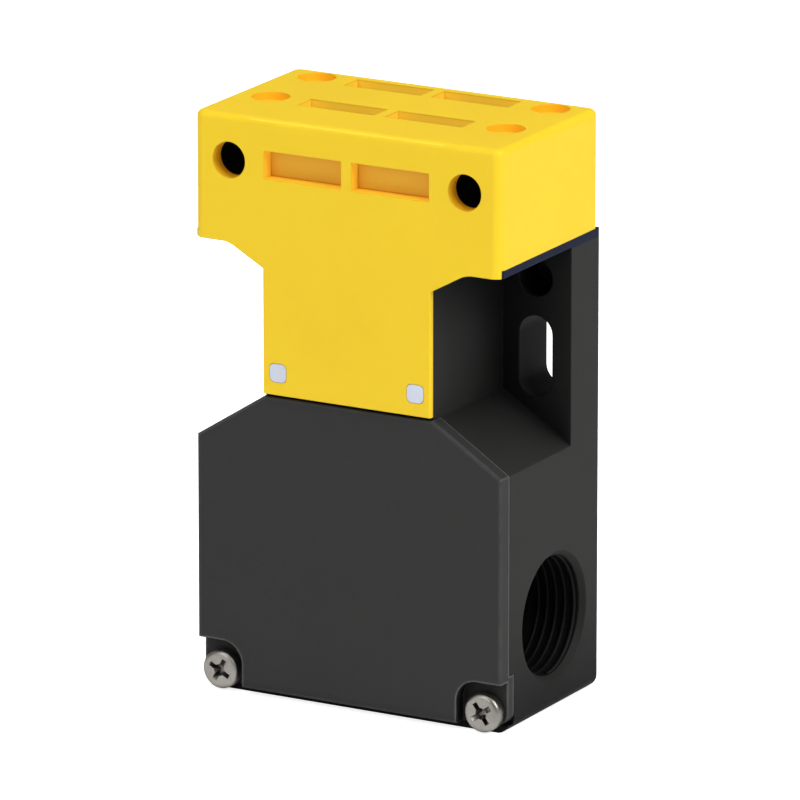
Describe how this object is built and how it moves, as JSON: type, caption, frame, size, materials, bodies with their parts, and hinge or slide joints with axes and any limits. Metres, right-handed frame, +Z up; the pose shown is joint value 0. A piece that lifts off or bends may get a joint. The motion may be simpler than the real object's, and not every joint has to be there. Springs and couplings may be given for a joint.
{
  "type": "safety switch",
  "caption": "Plastic safety interlock switch with a yellow key head, a black wiring housing with lift-off lid, threaded cable entries and key-driven contacts.",
  "frame": {"origin": "bottom centre of the switch's bounding box", "axes": "+Z up towards the key slots on top, -Y towards the lid and the front key slots, +X to the right seen from the front"},
  "size_m": [0.052, 0.0306, 0.09],
  "materials": {
    "head_yellow": "satin moulded",
    "housing_black": "fine moulded grain",
    "lid_black": "fine moulded grain",
    "pin_grey": "smooth",
    "seal_amber": "smooth",
    "zinc_steel": "bright zinc",
    "gasket_rubber": "matt",
    "wheel_acetal": "smooth",
    "plunger_acetal": "smooth",
    "spring_steel": "drawn wire",
    "block_moulding": "moulded",
    "contact_brass": "stamped"
  },
  "bodies": {
    "housing": {"base_housing": "housing_black", "head_cover": "head_yellow", "head_pins": "pin_grey", "slot_seals": "seal_amber", "lid_gasket": "gasket_rubber", "cam_axle": "zinc_steel", "plunger_seal": "gasket_rubber", "return_spring": "spring_steel", "contact_block": "block_moulding", "terminal_clamps": "zinc_steel", "terminal_screws": "zinc_steel", "block_screws": "zinc_steel", "fixed_contact_left_1": "contact_brass", "fixed_contact_right_1": "contact_brass", "fixed_contact_left_2": "contact_brass", "fixed_contact_right_2": "contact_brass", "fixed_contact_left_3": "contact_brass", "fixed_contact_right_3": "contact_brass"},
    "lid": {"lid": "lid_black", "lid_screws": "zinc_steel"},
    "wheel_left": {"cam_wheel_left": "wheel_acetal", "lift_cam_left": "wheel_acetal"},
    "wheel_right": {"cam_wheel_right": "wheel_acetal", "lift_cam_right": "wheel_acetal"},
    "plunger": {"plunger": "plunger_acetal", "contact_carrier": "plunger_acetal", "nc_bridge_lower": "contact_brass", "nc_bridge_upper": "contact_brass", "no_bridge": "contact_brass", "bridge_springs": "spring_steel"}
  },
  "joints": [
    {"name": "key_wheel_left", "type": "hinge", "parent": "housing", "child": "wheel_left", "pos_m": [0, 0.00375, 0.076], "axis": [1, 0, 0], "range_deg": [0, 60]},
    {"name": "key_wheel_right", "type": "hinge", "parent": "housing", "child": "wheel_right", "pos_m": [0, 0.00375, 0.076], "axis": [1, 0, 0], "range_deg": [0, 60]},
    {"name": "plunger_lift", "type": "slide", "parent": "housing", "child": "plunger", "axis": [0, 0, 1], "range_m": [0, 0.003], "deforming": ["return_spring"]},
    {"name": "lid_off", "type": "slide", "parent": "housing", "child": "lid", "axis": [0, -1, 0], "range_m": [0, 0.036]}
  ],
  "couplings": [
    {"joint": "key_wheel_left", "follows": "plunger_lift", "rad_per_m": 349.07},
    {"joint": "key_wheel_right", "follows": "plunger_lift", "rad_per_m": 349.07}
  ]
}
